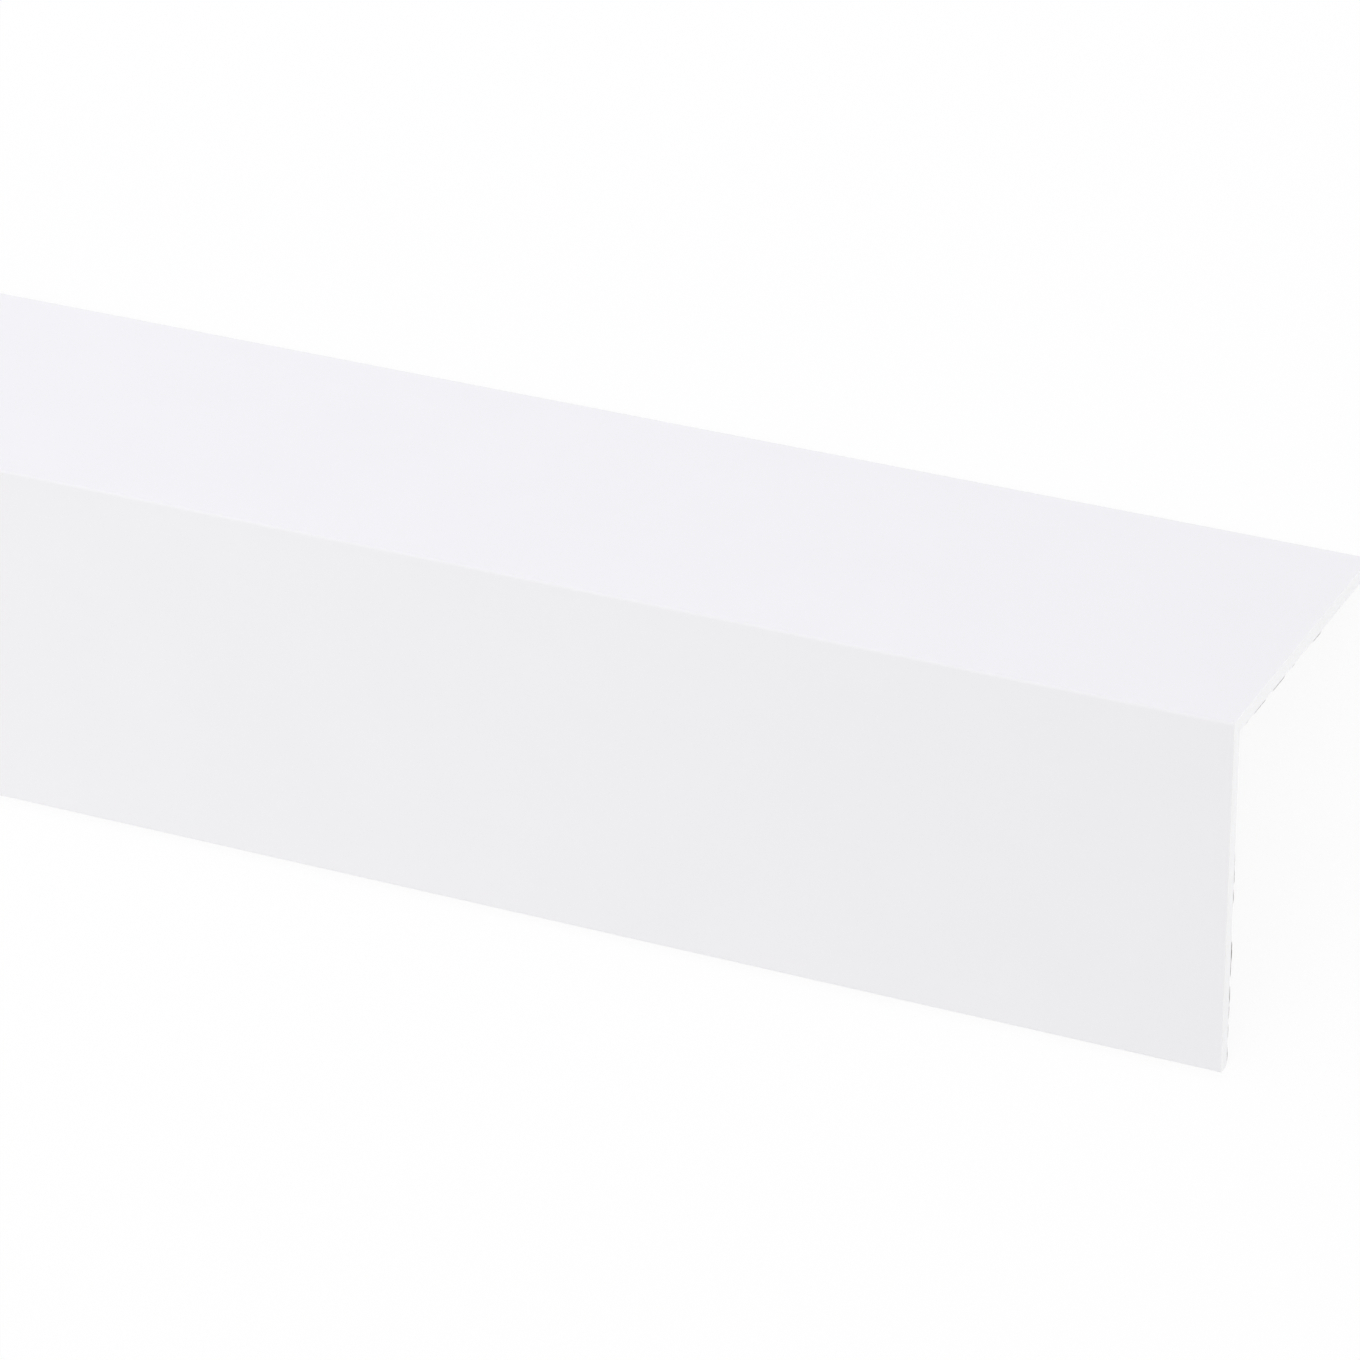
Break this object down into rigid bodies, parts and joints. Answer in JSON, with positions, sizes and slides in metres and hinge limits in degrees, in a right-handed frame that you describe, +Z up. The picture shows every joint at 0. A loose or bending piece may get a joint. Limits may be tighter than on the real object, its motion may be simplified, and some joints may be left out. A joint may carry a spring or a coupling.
{
  "type": "pvc angle profile",
  "caption": "White rigid PVC angle profile: an equal-leg L section with small rounded edges, extruded and sawn square to length, to cover, edge or line a right-angled corner.",
  "frame": {"origin": "floor level, midway along the bar, straight under the ridge", "axes": "+X along the bar, +Z up through the ridge, +Y from the ridge towards the back leg"},
  "size_m": [1, 0.0704, 0.0364],
  "materials": {
    "white_pvc": "satin"
  },
  "bodies": {
    "root": {"angle_profile": "white_pvc"}
  },
  "joints": []
}
